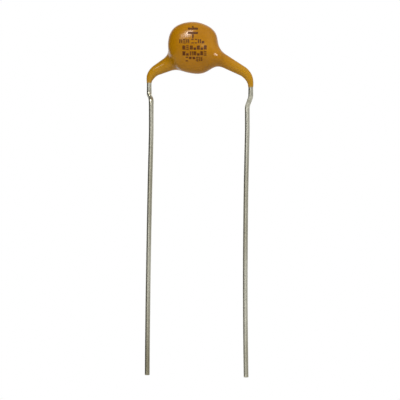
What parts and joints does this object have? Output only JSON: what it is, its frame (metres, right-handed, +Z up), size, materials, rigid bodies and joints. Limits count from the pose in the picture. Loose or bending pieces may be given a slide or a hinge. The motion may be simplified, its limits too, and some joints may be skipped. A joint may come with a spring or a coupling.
{
  "type": "ceramic disc capacitor",
  "caption": "Round ceramic disc capacitor dipped in ochre epoxy, with long tinned wire leads kinked to stand it off a board.",
  "frame": {"origin": "midway between the two leads, in the plane where they enter the board", "axes": "+Z up from the board towards the disc, +X from the left lead to the right one, -Y out of the marked face"},
  "size_m": [0.0141, 0.0055, 0.0463],
  "materials": {
    "epoxy": "gloss",
    "ceramic": "matte",
    "silver": "matte",
    "solder": "satin",
    "tinned_wire": "satin"
  },
  "bodies": {
    "root": {"epoxy_coating": "epoxy", "ceramic_disc": "ceramic", "front_electrode": "silver", "rear_electrode": "silver", "front_solder": "solder", "rear_solder": "solder", "left_lead": "tinned_wire", "right_lead": "tinned_wire"}
  },
  "joints": []
}
